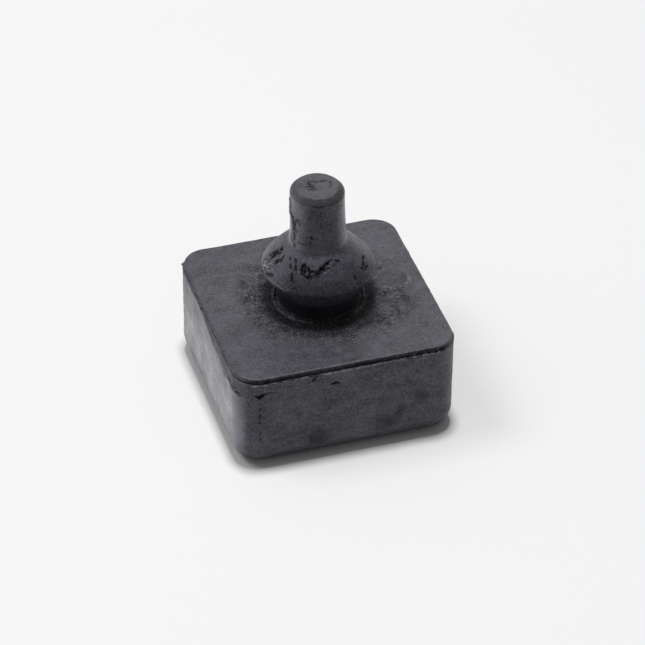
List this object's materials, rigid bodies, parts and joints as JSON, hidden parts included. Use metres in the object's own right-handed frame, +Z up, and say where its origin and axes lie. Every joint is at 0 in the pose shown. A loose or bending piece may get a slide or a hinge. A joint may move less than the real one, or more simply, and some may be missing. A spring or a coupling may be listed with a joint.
{
  "type": "side stand rubber buffer",
  "caption": "Square rubber buffer block with a snap-in stem: grooved neck, onion-shaped bulb and a straight pull tail.",
  "frame": {"origin": "middle of the block's underside, on the block's upright axis", "axes": "+Z up the stem, from the block's underside to the tail's tip; X along the block's width; Y along its depth"},
  "size_m": [0.0252, 0.0248, 0.0272],
  "materials": {
    "black_rubber": "matt moulded black rubber, dusty and lightly scuffed"
  },
  "bodies": {
    "root": {"rubber_buffer": "black_rubber"}
  },
  "joints": []
}
